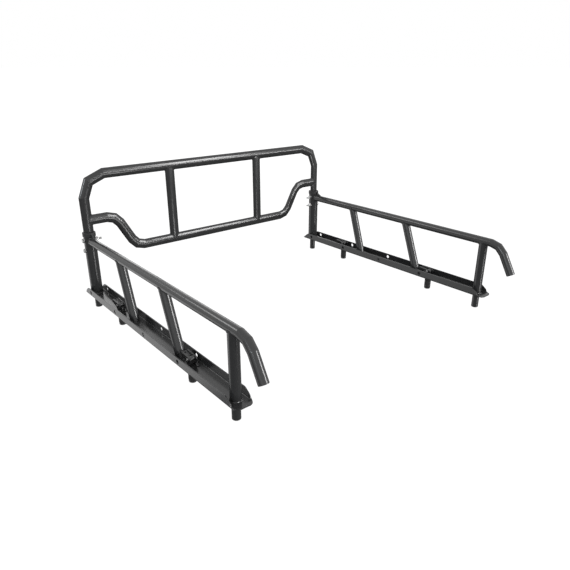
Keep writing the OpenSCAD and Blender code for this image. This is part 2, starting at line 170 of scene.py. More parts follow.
def bend_line(corners, radius):
    """Cuts each corner with two chords of its bend: where it starts, its middle and where it ends."""
    line = [corners[0]]
    for before, corner, after in zip(corners, corners[1:], corners[2:]):
        entry, leave = (corner - before).normalized(), (after - corner).normalized()
        half = entry.angle(leave) / 2
        inward = (leave - entry).normalized()
        line += [corner - entry * radius * math.tan(half),
                 corner + inward * radius * (1 / math.cos(half) - 1),
                 corner + leave * radius * math.tan(half)]
    return line + [corners[-1]]


def grow_ring(bm, edges):
    """Extrudes a ring of edges. Returns the new ring's vertices and its edges."""
    grown = bmesh.ops.extrude_edge_only(bm, edges=edges)["geom"]
    ring = [part for part in grown if isinstance(part, bmesh.types.BMVert)]
    return ring, [part for part in grown if isinstance(part, bmesh.types.BMEdge)
                  and all(vert in ring for vert in part.verts)]


def draw_tube(bm, line, normal, wide, deep, around=48):
    """Draws an oval skin along a bent line. Returns its two end rings, each in order, and its stations."""
    stations = [station(line, at, normal, wide, deep) for at in range(len(line))]
    ring = bmesh.ops.create_circle(bm, segments=around, radius=1)["verts"]
    edges = list({edge for vert in ring for edge in vert.link_edges})
    bmesh.ops.transform(bm, matrix=stations[0], verts=ring)
    first, kinks = ring, []
    for before, after in zip(stations, stations[1:]):
        ring, edges = grow_ring(bm, edges)
        bmesh.ops.transform(bm, matrix=after @ before.inverted(), verts=ring)
        kinks += edges
    kinks = kinks[:-len(edges)]

    def in_order(verts, place):
        flat = place.inverted()
        return sorted(verts, key=lambda vert: math.atan2((flat @ vert.co).y, (flat @ vert.co).x))

    ends = in_order(first, stations[0]), in_order(ring, stations[-1])
    if kinks:
        bmesh.ops.bevel(bm, geom=kinks, offset=kink_round, segments=2, profile=0.5,
                        affect="EDGES", material=-1)
    return ends, stations


def cope(ring, along, target, ear=0.2):
    """Slides a tube's end ring along it, on to the tube that target maps to a unit circle. The ear is how far
    round that tube the seam may reach, as a share of its radius."""
    flat = target.inverted()
    way = flat.to_3x3() @ along
    a = way.x ** 2 + way.y ** 2
    for vert in ring:
        at = flat @ vert.co
        b, c = at.x * way.x + at.y * way.y, at.x ** 2 + at.y ** 2 - 1
        vert.co += along * (-b - math.sqrt(max(b * b - a * c, a * ear * ear))) / a


def lay_weld(bm, points, size=0.0027, closed=True, pitch=0.0026, seed=0):
    """Lays a rippled weld bead along a line of points."""
    points = points + [points[0]] if closed else points
    lengths = [0]
    for one, two in zip(points, points[1:]):
        lengths.append(lengths[-1] + (two - one).length)
    ripple = (1.0, 0.93, 0.84, 0.8)
    steps = max(3, round(lengths[-1] / pitch)) * len(ripple)
    curve = bpy.data.curves.new("bead", "CURVE")
    curve.dimensions, curve.bevel_depth, curve.bevel_resolution = "3D", size, 1
    curve.use_fill_caps = not closed
    spline = curve.splines.new("POLY")
    spline.points.add(steps - 1 if closed else steps)
    spline.use_cyclic_u = closed
    span = 0
    for count, knot in enumerate(spline.points):
        reach = lengths[-1] * count / steps
        while span < len(lengths) - 2 and lengths[span + 1] < reach:
            span += 1
        share = (reach - lengths[span]) / max(lengths[span + 1] - lengths[span], 1e-9)
        knot.co = (*points[span].lerp(points[span + 1], min(1, share)), 1)
        swell = ripple[count % len(ripple)] + 0.1 * noise.noise(Vector((reach * 150, seed, 0)))
        end = 1 if closed else min(1, 0.35 + min(count, steps - count) / 6)
        knot.radius = swell * end
    holder = bpy.data.objects.new("bead", curve)
    mesh = bpy.data.meshes.new_from_object(holder)
    bm.from_mesh(mesh)
    bpy.data.objects.remove(holder)
    bpy.data.curves.remove(curve)
    bpy.data.meshes.remove(mesh)


def thicken(bm, wall, softness=0.0003):
    """Gives a skin its wall, inwards, and rounds the cut edges."""
    bmesh.ops.recalc_face_normals(bm, faces=bm.faces)
    bmesh.ops.solidify(bm, geom=bm.faces[:], thickness=wall)
    soften(bm, softness)


def soften(bm, softness, segments=2, sharper_than=50):
    """Rounds every edge sharper than an angle in degrees."""
    sharp = [edge for edge in bm.edges if len(edge.link_faces) == 2
             and edge.calc_face_angle(0) > math.radians(sharper_than)]
    bmesh.ops.bevel(bm, geom=sharp, offset=softness, segments=segments, profile=0.5, affect="EDGES",
                    material=-1, clamp_overlap=True)


def hand_over(bm, name, body, slot, finish, *nodes, smooth=38):
    """Makes the finished mesh a piece that rides on its body and stands for its CAD nodes."""
    mesh = bpy.data.meshes.new(name)
    bm.to_mesh(mesh)
    bm.free()
    mesh.shade_smooth()
    mesh.set_sharp_from_angle(angle=math.radians(smooth))
    mesh.materials.append(finish)
    piece = bpy.data.objects.new(name, mesh)
    bpy.context.scene.collection.objects.link(piece)
    even = piece.modifiers.new("even_shading", "WEIGHTED_NORMAL")
    even.keep_sharp, even.weight = True, 60
    if body:
        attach(piece, body)
    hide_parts(*nodes)
    return piece


bm = bmesh.new()
hoop_corners = [(-rail_x, hoop_low.z), (-rail_x, hoop_z), (rail_x, hoop_z), (rail_x, hoop_low.z)]
hoop_line = bend_line([Vector((x, front_y, z)) for x, z in hoop_corners], hoop_bend)
_, hoop_stations = draw_tube(bm, hoop_line, -Y, oval_wide, oval_deep)
thicken(bm, oval_wall)
hand_over(bm, "hoop_bent_tube", "frame", "powder_coat", charcoal, "hoop_tube")

# --- Lower bar ---
# The same oval tube, bent down from the legs to a low middle stretch, so that it closes the hoop behind the
# cab. Its ends are coped to the legs and welded all round before coating. Each tube is drawn to a gap short
# of the centre line that it meets, and coped from there.
bar_low, bar_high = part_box("lower_bar")
bar_bend, bar_slope, bar_end_run = 0.066, math.radians(61), 0.12708
draw_gap, oval_ear = 0.03, 0.25
bar_end_z, bar_mid_z = bar_high.z - oval_wide / 2, bar_low.z + oval_wide / 2
bar_top = rail_x - bar_end_run
bar_mid = bar_top - (bar_end_z - bar_mid_z) / math.tan(bar_slope)
bar_corners = [(-rail_x + draw_gap, bar_end_z), (-bar_top, bar_end_z), (-bar_mid, bar_mid_z),
               (bar_mid, bar_mid_z), (bar_top, bar_end_z), (rail_x - draw_gap, bar_end_z)]
bm = bmesh.new()
bar_line = bend_line([Vector((x, front_y, z)) for x, z in bar_corners], bar_bend)
bar_ends, _ = draw_tube(bm, bar_line, -Y, oval_wide, oval_deep)
cope(bar_ends[0], -X, hoop_stations[0], oval_ear)
cope(bar_ends[1], X, hoop_stations[-1], oval_ear)
seams = [[vert.co.copy() for vert in ring] for ring in bar_ends]
thicken(bm, oval_wall)
for count, seam in enumerate(seams):
    lay_weld(bm, seam, seed=count)
hand_over(bm, "lower_bar_bent_tube", "frame", "powder_coat", charcoal, "lower_bar")

# --- Uprights ---
# Two straight oval tubes between the hoop's top and the lower bar. Both ends are coped round the bars and
# welded, and they stiffen the hoop against a load that slides forward.
for side in SIDES:
    low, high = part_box(side + "_upright")
    upright_x, upright_wide = (low.x + high.x) / 2, high.x - low.x
    bm = bmesh.new()
    line = [Vector((upright_x, front_y, z)) for z in (bar_mid_z + draw_gap, hoop_z - draw_gap)]
    ends, _ = draw_tube(bm, line, -Y, upright_wide, oval_deep)
    for ring, along, z in zip(ends, (-Z, Z), (bar_mid_z, hoop_z)):
        bar = station([Vector((-1, front_y, z)), Vector((1, front_y, z))], 0, -Y, oval_wide, oval_deep)
        cope(ring, along, bar, oval_ear)
    seams = [[vert.co.copy() for vert in ring] for ring in ends]
    thicken(bm, oval_wall)
    for count, seam in enumerate(seams):
        lay_weld(bm, seam, seed=5 + count)
    hand_over(bm, side + "_upright_tube", "frame", "powder_coat", charcoal, side + "_upright")

# --- Base channels ---
# A strip of 4 mm steel sheet, cut with sloped ends and tie-down holes, then folded up at both sides. The side
# frame is welded to its floor, and its flat underside rests on the bed's edge. A fullness over 1 bows the
# slope outward, and a cell is half the side of the square that a hole is cut in.
sheet, fold, channel_round = 0.004, 0.007, 0.0006
flange_slope, fullness, tongue, floor_corner = 0.036, 1.15, 0.019, 0.024
tie_radius, tie_up, tie_first, tie_pitch, tie_count, tie_cell = 0.008, 0.0186, 0.032, 0.259, 4, 0.0105
rod_hole, rod_cell = 0.0055, 0.012
anchor_back = {"front": 0.261, "rear": 0.837}
channel_low, channel_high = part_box("right_base_channel")
channel_wide, channel_tall = channel_high.x - channel_low.x, channel_high.z - channel_low.z
floor_half, floor_under, floor_top = channel_wide / 2 - fold, channel_low.z, channel_low.z + sheet


def grow_sheet(bm, faces):
    """Extrudes faces, which stay behind as the other side, and returns the new side's vertices."""
    grown = bmesh.ops.extrude_face_region(bm, geom=faces)["geom"]
    return [part for part in grown if isinstance(part, bmesh.types.BMVert)]


def punch(bm, centre, normal, radius, cell, around=32):
    """Opens a round hole in a flat sheet: cuts a square cell round it, and draws its edge in to the hole."""
    u = Z.cross(normal) if abs(normal.z) < 0.5 else X
    v = normal.cross(u)
    for way in (u, -u, v, -v):
        flat = [face for face in bm.faces if abs(face.normal.dot(normal)) > 0.99
                and abs((face.calc_center_median() - centre).dot(normal)) < 1e-4]
        parts = flat + list({e for f in flat for e in f.edges}) + list({w for f in flat for w in f.verts})
        bmesh.ops.bisect_plane(bm, geom=parts, dist=2e-5, plane_co=centre + way * cell, plane_no=way)
    flat = [face for face in bm.faces if abs(face.normal.dot(normal)) > 0.99]
    hit = min(flat, key=lambda face: (face.calc_center_median() - centre).length)
    bmesh.ops.subdivide_edges(bm, edges=hit.edges[:], cuts=around // 4 - 1)
    hit = min((face for face in bm.faces if len(face.verts) == around),
              key=lambda face: (face.calc_center_median() - centre).length)
    bmesh.ops.inset_individual(bm, faces=[hit], thickness=cell * 0.1, use_even_offset=False)
    step = 2 * math.pi / around
    for vert in hit.verts:
        out = vert.co - centre
        turn = round(math.atan2(out.dot(v), out.dot(u)) / step) * step
        vert.co = centre + (u * math.cos(turn) + v * math.sin(turn)) * radius
    bmesh.ops.delete(bm, geom=[hit], context="FACES_ONLY")


def reach(inset):
    """How far the sheet goes to either side, unfolded, at a distance from the channel's end."""
    climb = min(1, max(0, inset - tongue) / flange_slope)
    share = (1 - (1 - climb) ** fullness) ** (1 / fullness)
    out = floor_half + fold * math.pi / 2 + (channel_tall - fold) * share
    if inset < floor_corner:
        past = math.sqrt(floor_corner ** 2 - (floor_corner - inset) ** 2) - floor_corner + fold
        out = min(out, floor_half + (past if past < 0 else fold * math.asin(min(1, past / fold))))
    return out


for side in SIDES:
    low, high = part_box(side + "_base_channel")
    middle = (low + high) / 2
    insets = [floor_corner * (1 - math.cos(math.pi / 2 * n / 8)) for n in range(9)]
    insets += [tongue + flange_slope * n / 9 for n in range(10)]
    insets.sort()
    spots = [(inset, low.y + inset) for inset in insets] + [(inset, high.y - inset) for inset in insets[::-1]]
    columns = [floor_half] + [floor_half + fold * math.pi / 2 * n / 6 for n in range(1, 7)] + [1]
    columns = [-column for column in reversed(columns)] + columns
    bm = bmesh.new()
    rows = []
    for inset, y in spots:
        row, most = [], reach(inset)
        for column in columns:
            out = min(abs(column), most)
            turn = min(max(0, out - floor_half) / fold, math.pi / 2)
            x = min(out, floor_half) + fold * math.sin(turn)
            z = fold * (1 - math.cos(turn)) + max(0, out - floor_half - fold * math.pi / 2)
            row.append(bm.verts.new((middle.x + math.copysign(x, column), y, floor_under + z)))
        rows.append(row)
    for before, after in zip(rows, rows[1:]):
        for n in range(len(columns) - 1):
            bm.faces.new((before[n], after[n], after[n + 1], before[n + 1]))
    bmesh.ops.remove_doubles(bm, verts=bm.verts, dist=1e-4)
    bmesh.ops.dissolve_degenerate(bm, edges=bm.edges, dist=1e-4)
    bmesh.ops.recalc_face_normals(bm, faces=bm.faces)
    if max(bm.faces, key=lambda face: face.calc_area()).normal.z > 0:
        bmesh.ops.reverse_faces(bm, faces=bm.faces)
    for flank in (-1, 1):
        for n in range(tie_count):
            tie_y = front_y - tie_first - n * tie_pitch
            punch(bm, Vector((middle.x + flank * channel_wide / 2, tie_y, floor_under + tie_up)), X * flank,
                  tie_radius, tie_cell)
    for back in anchor_back.values():
        punch(bm, Vector((middle.x, front_y - back, floor_under)), -Z, rod_hole, rod_cell, 24)
    bmesh.ops.remove_doubles(bm, verts=bm.verts, dist=5e-4)
    bmesh.ops.dissolve_degenerate(bm, edges=bm.edges, dist=2e-4)
    for vert in grow_sheet(bm, bm.faces[:]):
        out, up = vert.co.x - middle.x, vert.co.z - floor_under - fold
        beyond = max(0, abs(out) - floor_half)
        inward = Vector((-beyond * math.copysign(1, out), 0, max(0, -up))).normalized()
        vert.co += inward * sheet
    bmesh.ops.recalc_face_normals(bm, faces=bm.faces)
    soften(bm, channel_round)
    hand_over(bm, side + "_folded_channel", "frame", "powder_coat", charcoal, side + "_base_channel")

# --- Pegs ---
# Solid steel pegs, turned with a rounded lower edge and welded under the ends of each channel. They drop
# into the round holes in the top edge of a cargo bed and take the side loads.
peg_round = 0.003
for side, k in SIDES.items():
    for end in ("front", "rear"):
        low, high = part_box(f"{side}_{end}_peg")
        middle, radius = (low + high) / 2, (high.x - low.x) / 2
        bm = bmesh.new()
        bmesh.ops.create_cone(bm, cap_ends=True, segments=48, radius1=radius, radius2=radius,
                              depth=high.z - low.z, matrix=Matrix.Translation(middle))
        rim = [edge for edge in bm.edges if all(vert.co.z < middle.z for vert in edge.verts)]
        bmesh.ops.bevel(bm, geom=rim, offset=peg_round, segments=5, profile=0.5, affect="EDGES", material=-1)
        top = [vert.co.copy() for vert in bm.verts if vert.co.z > high.z - 1e-5]
        top.sort(key=lambda at: math.atan2(at.y - middle.y, at.x - middle.x))
        lay_weld(bm, [at - Z * 0.0004 for at in top], 0.0024, seed=k + 2)
        hand_over(bm, f"{side}_{end}_turned_peg", "frame", "powder_coat", charcoal, f"{side}_{end}_peg")

# --- Front posts ---
# Round steel tube, welded upright on the channel's floor. It is the socket that the hoop's leg drops into,
# and two bolts cross it below its cap.
post_wall, foot_weld_up = 0.002, 0.0006
for side, k in SIDES.items():
    low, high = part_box(side + "_front_post")
    post_wide = high.x - low.x
    bm = bmesh.new()
    line = [Vector((k * rail_x, front_y, z)) for z in (low.z, high.z)]
    ends, _ = draw_tube(bm, line, Y, post_wide, post_wide, 56)
    seam = [vert.co + Z * foot_weld_up for vert in ends[0]]
    thicken(bm, post_wall)
    lay_weld(bm, seam, 0.0031, seed=k + 4)
    hand_over(bm, side + "_front_post_tube", "frame", "powder_coat", charcoal, side + "_front_post")

# --- Top rails ---
# A round tube that runs back level from the front post and is bent down past the rear post, so that cargo
# and hands meet no sharp end. Its front end is coped to the post and welded.
rail_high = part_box("right_top_rail")[1]
rail_wide, rail_wall, tail_bend = 0.035, 0.0025, 0.070
rail_z = rail_high.z - rail_wide / 2
post_spacing, rail_start = 1.100, 0.05
tail_angle, tail_drop, tail_corner = math.radians(60), 0.117, front_y - post_spacing - 0.076
tail_end = tail_corner - tail_drop / math.tan(tail_angle)
for side, k in SIDES.items():
    x = k * rail_x
    bm = bmesh.new()
    corners = [Vector((x, front_y - rail_start, rail_z)), Vector((x, tail_corner, rail_z)),
               Vector((x, tail_end, rail_z - tail_drop))]
    ends, _ = draw_tube(bm, bend_line(corners, tail_bend), X, rail_wide, rail_wide, 48)
    post = station([Vector((x, front_y, 0)), Vector((x, front_y, 1))], 0, Y, post_wide, post_wide)
    cope(ends[0], Y, post)
    seam = [vert.co.copy() for vert in ends[0]]
    thicken(bm, rail_wall, 0.0004)
    lay_weld(bm, seam, 0.0028, seed=k + 6)
    hand_over(bm, side + "_top_rail_tube", "frame", "powder_coat", charcoal, side + "_top_rail")

# --- Braces and rear posts ---
# Round tubes between the channel's floor and the rail: two braces that lean forward, and an upright rear
# post. Each is cut flat at its foot, coped under the rail, and welded at both ends.
brace_wide, brace_ear = 0.038, 0.24
leaning = {"front_brace": (0.314, 0.394), "rear_brace": (0.671, 0.764),
           "rear_post": (post_spacing, post_spacing)}
for side, k in SIDES.items():
    x = k * rail_x
    rail = station([Vector((x, 0, rail_z)), Vector((x, 1, rail_z))], 0, X, rail_wide, rail_wide)
    for count, (name, (top_back, foot_back)) in enumerate(leaning.items()):
        foot, head = Vector((x, front_y - foot_back, floor_top)), Vector((x, front_y - top_back, rail_z))
        along = (head - foot).normalized()
        bm = bmesh.new()
        ends, _ = draw_tube(bm, [foot, foot + along * (head - foot).length * 0.8], X, brace_wide, brace_wide)
        for vert in ends[0]:
            vert.co -= along * (vert.co.z - floor_top) / along.z
        cope(ends[1], along, rail, brace_ear)
        seams = [[vert.co + Z * foot_weld_up for vert in ends[0]], [vert.co.copy() for vert in ends[1]]]
        thicken(bm, rail_wall)
        for seam in seams:
            lay_weld(bm, seam, 0.0027, seed=9 + count)
        hand_over(bm, f"{side}_{name}_tube", "frame", "powder_coat", charcoal, f"{side}_{name}")

# --- Gussets ---
# A small plate of 5 mm steel in the corner between the front post and the rail, cut to pass under the socket
# cap's skirt. It is fillet-welded along both edges, and stops the hoop's load from folding the joint.
gusset_nose, plate_round, cap_gap = 0.004, 0.0005, 0.001
for side in SIDES:
    low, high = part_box(side + "_rail_gusset")
    cap_low, cap_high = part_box(side + "_socket_cap")
    post_back, far_back = post_wide / 2, front_y - low.y
    clear, under_cap = front_y - cap_low.y + cap_gap, cap_low.z - cap_gap
    post_gap, under_rail = post_back - 0.0002, rail_high.z - 0.0003
    outline = [(post_gap, under_cap), (clear, under_cap), (clear, high.z), (clear + gusset_nose, high.z),
               (far_back, rail_high.z + 0.001), (far_back, under_rail), (post_gap, under_rail)]
    bm = bmesh.new()
    plate = bm.faces.new([bm.verts.new((low.x, front_y - back, z)) for back, z in outline])
    bmesh.ops.translate(bm, vec=(high.x - low.x, 0, 0), verts=grow_sheet(bm, [plate]))
    bmesh.ops.recalc_face_normals(bm, faces=bm.faces)
    soften(bm, plate_round)
    along_rail = (far_back - 0.001, rail_high.z - 0.0006), (post_back + 0.0005, rail_high.z - 0.0006)
    along_post = (post_back + 0.0004, rail_high.z), (post_back + 0.0004, cap_low.z - 0.002)
    for x in (low.x - 0.0004, high.x + 0.0004):
        for bead, size, seed in (along_rail, 0.0024, 3), (along_post, 0.0022, 4):
            lay_weld(bm, [Vector((x, front_y - back, z)) for back, z in bead], size, False, seed=seed)
    hand_over(bm, side + "_gusset_plate", "frame", "powder_coat", charcoal, side + "_rail_gusset")

# --- Rail end plugs ---
# A moulded nylon plug with a slightly domed rim, pushed into the open end of each tail. Two grooves round its
# barrel leave ribs that grip the bore.
plug_deep, plug_groove = 0.018, 0.0006


def nylon():
    """Black nylon with the fine eroded grain of its mould."""
    plastic = Finish("moulded_nylon")
    pits = plastic.node("ShaderNodeTexVoronoi", None, {"Vector": plastic.place, "Scale": 1300},
                        out="Distance")
    cloud = plastic.grain(40, 3)
    return plastic.surface(
        pits, 0.00008,
        Base_Color=plastic.shades((0.0075, 0.0075, 0.008), (0.016, 0.016, 0.0165), cloud),
        Roughness=0.46 + 0.14 * cloud)


moulded = nylon()


def set_down(bm, before, place, merge=0):
    """Merges what was made since before, turns its faces outward and puts it in place."""
    if merge:
        bmesh.ops.remove_doubles(bm, verts=[vert for vert in bm.verts if vert not in before], dist=merge)
    made = [vert for vert in bm.verts if vert not in before]
    bmesh.ops.recalc_face_normals(bm, faces=list({face for vert in made for face in vert.link_faces}))
    bmesh.ops.transform(bm, matrix=place, verts=made)


def lathe(bm, profile, place, steps=48):
    """Turns a profile of (radius, height) points into a closed body and puts it in place."""
    before = set(bm.verts)
    verts = [bm.verts.new((radius, 0, height)) for radius, height in profile]
    edges = [bm.edges.new(pair) for pair in zip(verts, verts[1:])]
    bmesh.ops.spin(bm, geom=verts + edges, cent=(0, 0, 0), axis=(0, 0, 1), dvec=(0, 0, 0),
                   angle=2 * math.pi, steps=steps, use_merge=True)
    set_down(bm, before, place, 1e-7)


for side, k in SIDES.items():
    bore, rim = rail_wide / 2 - rail_wall - 0.0001, rail_wide / 2 - 0.0005
    place = Matrix.Translation((k * rail_x, tail_end, rail_z - tail_drop))
    dome = [(0, -0.002), (rim * 0.5, -0.0019), (rim * 0.8, -0.0015), (rim - 0.0007, -0.0010), (rim, -0.0004)]
    barrel = [(rim, 0), (bore, 0)]
    for start in (0.003, 0.010):
        barrel += [(bore, start), (bore - plug_groove, start + plug_groove),
                   (bore - plug_groove, start + 0.003), (bore, start + 0.003 + plug_groove)]
    bm = bmesh.new()
    lathe(bm, dome + barrel + [(bore - 0.002, plug_deep), (0, plug_deep)],
          place @ Matrix.Rotation(tail_angle - math.pi / 2, 4, "X"))
    hand_over(bm, side + "_tail_plug", "frame", "moulded_black", moulded, side + "_rail_end_plug")

# --- Socket caps ---
# A moulded nylon cap over the top of each front post. Its skirt grips the post, and its oval opening centres
# the hoop's leg in the round socket, so that the coating doesn't chafe.
cap_wall, cap_skirt, slot_gap = 0.0023, 0.0135, 0.0003
for side, k in SIDES.items():
    low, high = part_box(side + "_socket_cap")
    radius = (high.x - low.x) / 2
    outside = [(cap_wall, low.z + cap_skirt), (cap_wall, low.z + 0.0006), (0.0017, low.z), (0.0006, low.z),
               (0, low.z + 0.0006), (0, high.z - 0.0022), (0.0003, high.z - 0.0011),
               (0.0011, high.z - 0.0003), (0.0022, high.z)]
    slot = [(0.0009, 0.0012, high.z), (0.0002, 0.0003, high.z - 0.0003), (0, 0, high.z - 0.0010),
            (0, 0, low.z + cap_skirt)]
    rings = [(radius - inset, radius - inset, z) for inset, z in outside]
    rings += [(oval_wide / 2 + slot_gap + wide, oval_deep / 2 + slot_gap + deep, z) for wide, deep, z in slot]
    bm = bmesh.new()
    ring = bmesh.ops.create_circle(bm, segments=64, radius=1)["verts"]
    edges = bm.edges[:]
    shapes = [Matrix.Translation((k * rail_x, front_y, z)) @ Matrix.Diagonal((wide, deep, 1, 1))
              for wide, deep, z in rings]
    bmesh.ops.transform(bm, matrix=shapes[0], verts=ring)
    first = edges
    for before, after in zip(shapes, shapes[1:]):
        ring, edges = grow_ring(bm, edges)
        bmesh.ops.transform(bm, matrix=after @ before.inverted(), verts=ring)
    bmesh.ops.bridge_loops(bm, edges=first + edges)
    bmesh.ops.recalc_face_normals(bm, faces=bm.faces)
    hand_over(bm, side + "_moulded_cap", "frame", "moulded_black", moulded, side + "_socket_cap")

# --- Socket bolts, washers and nuts ---
# Two zinc-plated M10 hexagon bolts cross each socket and the hoop's leg. The heads are outside, and lock nuts
# hold them inside, with the spare thread showing.
bolt_radius, head_across, chamfer = 0.005, 0.017, 0.577
thread_pitch, thread_deep, thread_long, thread_turns, thread_steps = 0.0015, 0.0009, 0.03, 13, 24
washer_thick, washer_radius, nut_tall, head_tall, bolt_long = 0.002, 0.010, 0.010, 0.0064, 0.080
bolt_levels = [cap_high.z - 0.0355, cap_high.z - 0.0805]


def zinc_plate():
    """Bright zinc plate: metallic, with a fine drawn grain and a faint warm and cool cloud."""
    zinc = Finish("bright_zinc")
    cloud = zinc.grain(160, 3)
    scratch = zinc.grain(1900, 3, 0.7)
    return zinc.surface(
        scratch, 0.00003,
        Base_Color=zinc.shades((0.50, 0.51, 0.53), (0.70, 0.69, 0.66), cloud),
        Roughness=0.24 + 0.16 * cloud + 0.08 * scratch,
        Metallic=1.0)


plated = zinc_plate()


def hexagon(bm, tall, place, crown_below=False, bore=0):
    """A hexagonal head or nut, its corners chamfered to a circle at the top, and below as well for a nut."""
    before = set(bm.verts)
    circle = head_across * 0.475
    ring = bmesh.ops.create_circle(bm, segments=48, radius=1)["verts"]
    edges = list({edge for vert in ring for edge in vert.link_edges})
    for vert in ring:
        turn = math.atan2(vert.co.y, vert.co.x) % (math.pi / 3) - math.pi / 6
        out = head_across / 2 / math.cos(turn)
        vert.co = vert.co.normalized() * out
        vert.co.z = max(0, out - circle) * chamfer if crown_below else 0
    first = edges
    for kind, level in [("side", tall), ("top", tall)] + ([("bore", tall), ("bore", 0)] if bore else []):
        ring, edges = grow_ring(bm, edges)
        for vert in ring:
            flat = Vector((vert.co.x, vert.co.y, 0))
            if kind == "side":
                vert.co = flat + Z * (level - max(0, flat.length - circle) * chamfer)
            else:
                vert.co = flat.normalized() * (circle if kind == "top" else bore) + Z * level
    if bore:
        bmesh.ops.bridge_loops(bm, edges=first + edges)
    else:
        bmesh.ops.edgeloop_fill(bm, edges=edges)
        bmesh.ops.edgeloop_fill(bm, edges=first)
    set_down(bm, before, place)


for side, k in SIDES.items():
    bolts, washers, nuts = bmesh.new(), bmesh.new(), bmesh.new()
    for count, z in enumerate(bolt_levels):
        out = Matrix.Translation((k * rail_x, front_y, z)) @ Matrix.Rotation(k * math.pi / 2, 4, "Y")
        turned = Matrix.Rotation(0.35 + 0.8 * count + 0.3 * k, 4, "Z")
        seat = post_wide / 2 + washer_thick
        tip = seat - bolt_long
        hexagon(bolts, head_tall, out @ Matrix.Translation((0, 0, seat)) @ turned)
        root = bolt_radius - thread_deep
        lathe(bolts, [(0, tip), (root - 0.0006, tip), (root + 0.0001, tip + 0.0008),
                      (root + 0.0001, tip + thread_long), (bolt_radius, tip + thread_long + 0.001),
                      (bolt_radius, seat), (0, seat)], out, 32)
        before = set(bolts.verts)
        ridge = [bolts.verts.new(at) for at in ((root, 0, tip + 0.0003), (bolt_radius, 0, tip + 0.0010),
                                                (root, 0, tip + 0.0018))]
        lines = [bolts.edges.new(pair) for pair in zip(ridge, ridge[1:])]
        bmesh.ops.spin(bolts, geom=ridge + lines, cent=(0, 0, 0), axis=(0, 0, 1),
                       angle=2 * math.pi * thread_turns, dvec=(0, 0, thread_pitch / thread_steps),
                       steps=thread_steps * thread_turns)
        set_down(bolts, before, out, 2e-5)
        for start in (post_wide / 2, -post_wide / 2 - washer_thick):
            hole, rim = bolt_radius + 0.0003, washer_radius - 0.0003
            lathe(washers, [(hole, 0), (rim, 0), (washer_radius, 0.0003),
                            (washer_radius, washer_thick - 0.0003), (rim, washer_thick), (hole, washer_thick),
                            (hole, 0)], out @ Matrix.Translation((0, 0, start)))
        inner = out @ Matrix.Translation((0, 0, -seat)) @ Matrix.Rotation(math.pi, 4, "X")
        nut_bore, collar_from = bolt_radius + 0.00005, nut_tall * 0.7
        hexagon(nuts, nut_tall * 0.74, inner @ turned, True, nut_bore)
        lathe(nuts, [(nut_bore, collar_from), (0.0076, collar_from), (0.0076, nut_tall - 0.0012),
                     (0.0073, nut_tall - 0.0004), (0.0066, nut_tall), (0.0060, nut_tall - 0.0003),
                     (0.0058, nut_tall - 0.0010), (nut_bore, nut_tall - 0.0010), (nut_bore, collar_from)],
              inner)
    hand_over(bolts, side + "_hexagon_bolts", "frame", "zinc", plated, side + "_socket_bolts", smooth=30)
    hand_over(washers, side + "_flat_washers", "frame", "zinc", plated, side + "_socket_washers", smooth=30)
    hand_over(nuts, side + "_lock_nuts", "frame", "zinc", plated, side + "_socket_nuts", smooth=30)

# --- Anchors ---
# Two quick-release anchors in each channel. A cam lever draws a steel rod up through a seat plate, the
# expander at its foot squeezes a rubber sleeve, and the sleeve swells and grips its hole in the bed.
seat_wide, seat_long, seat_thick = 0.040, 0.042, 0.003
rod_radius, eye_radius, pin_radius, pin_long = 0.005, 0.009, 0.004, 0.034
lever_wide, lever_sheet, lever_long, lever_rise = 0.028, 0.0035, 0.054, math.radians(8)
cam_drop, cam_travel = 0.0224, 0.006
seat_corner, seat_cell, sleeve_bore, pin_gap, pin_rim = 0.004, 0.010, 0.0055, 0.000025, 0.0015
web_long, web_middle, web_up, web_hole, web_hole_at = 0.033, 0.0335, 0.001, 0.004, 0.042


def rubber():
    """Matt black moulded rubber with a dry, slightly dusty bloom."""
    skin = Finish("black_rubber_compound")
    bloom = skin.grain(90, 4, 0.6)
    fine = skin.grain(1700, 2)
    return skin.surface(
        0.5 * bloom + 0.5 * fine, 0.0002,
        Base_Color=skin.shades((0.006, 0.006, 0.006), (0.016, 0.0155, 0.015), bloom),
        Roughness=0.66 + 0.2 * bloom)


def lever_coat():
    """Thin black electro-coat on pressed steel: glossier than the powder, it shows the drawn grain, and its
    edges are paler, partly from wear and partly as a painted highlight.
    """
    coat = Finish("black_electro_coat")
    drawn = coat.grain(700, 3, 0.6)
    cloud = coat.grain(30, 2)
    # Pointiness lightens the colour on convex edges: partly edge wear, partly a painted highlight.
    pale_edges_and_painted_highlight = coat.between(0.51, 0.58, coat.node("ShaderNodeNewGeometry", out="Pointiness"))
    return coat.surface(
        drawn, 0.00004,
        Base_Color=coat.shades((0.0075, 0.0075, 0.008), (0.022, 0.022, 0.0225), 0.4 * cloud + 0.6 * pale_edges_and_painted_highlight),
        Roughness=0.24 + 0.12 * cloud + 0.06 * drawn)


rubber_skin, lever_black = rubber(), lever_coat()

